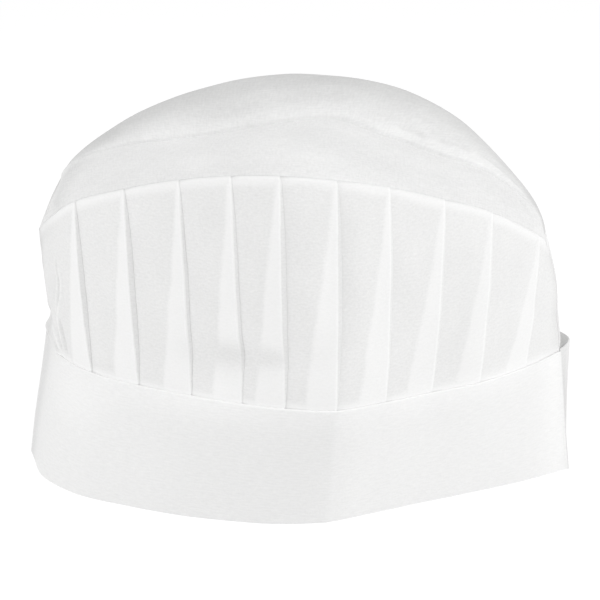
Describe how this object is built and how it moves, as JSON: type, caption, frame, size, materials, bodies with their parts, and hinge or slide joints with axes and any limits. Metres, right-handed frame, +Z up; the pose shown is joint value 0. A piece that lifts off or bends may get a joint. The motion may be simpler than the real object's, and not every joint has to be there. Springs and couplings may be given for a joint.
{
  "type": "pleated non-woven chef hat",
  "caption": "Low white non-woven cook's cap with a straight brow band, knife-pleated arched walls and a soft creased crown, standing open on its band.",
  "frame": {"origin": "middle of the footprint, on the surface that the cap stands on", "axes": "+Z up, -Y the front with the soft centre ridge of the band, +X to the right as the front is looked at, along the flat-packed width"},
  "size_m": [0.2326, 0.1403, 0.1654],
  "materials": {
    "band_cloth": "matt, doubled non-woven cloth, stiff, fine fibres running along the band",
    "panel_cloth": "matt non-woven cloth, knife pleated, slightly see-through, whiter where folded in three",
    "crown_cloth": "matt non-woven cloth, single layer, soft, fine crossed fibres"
  },
  "bodies": {
    "root": {"brow_band": "band_cloth", "front_panel": "panel_cloth", "back_panel": "panel_cloth", "crown": "crown_cloth"}
  },
  "joints": []
}
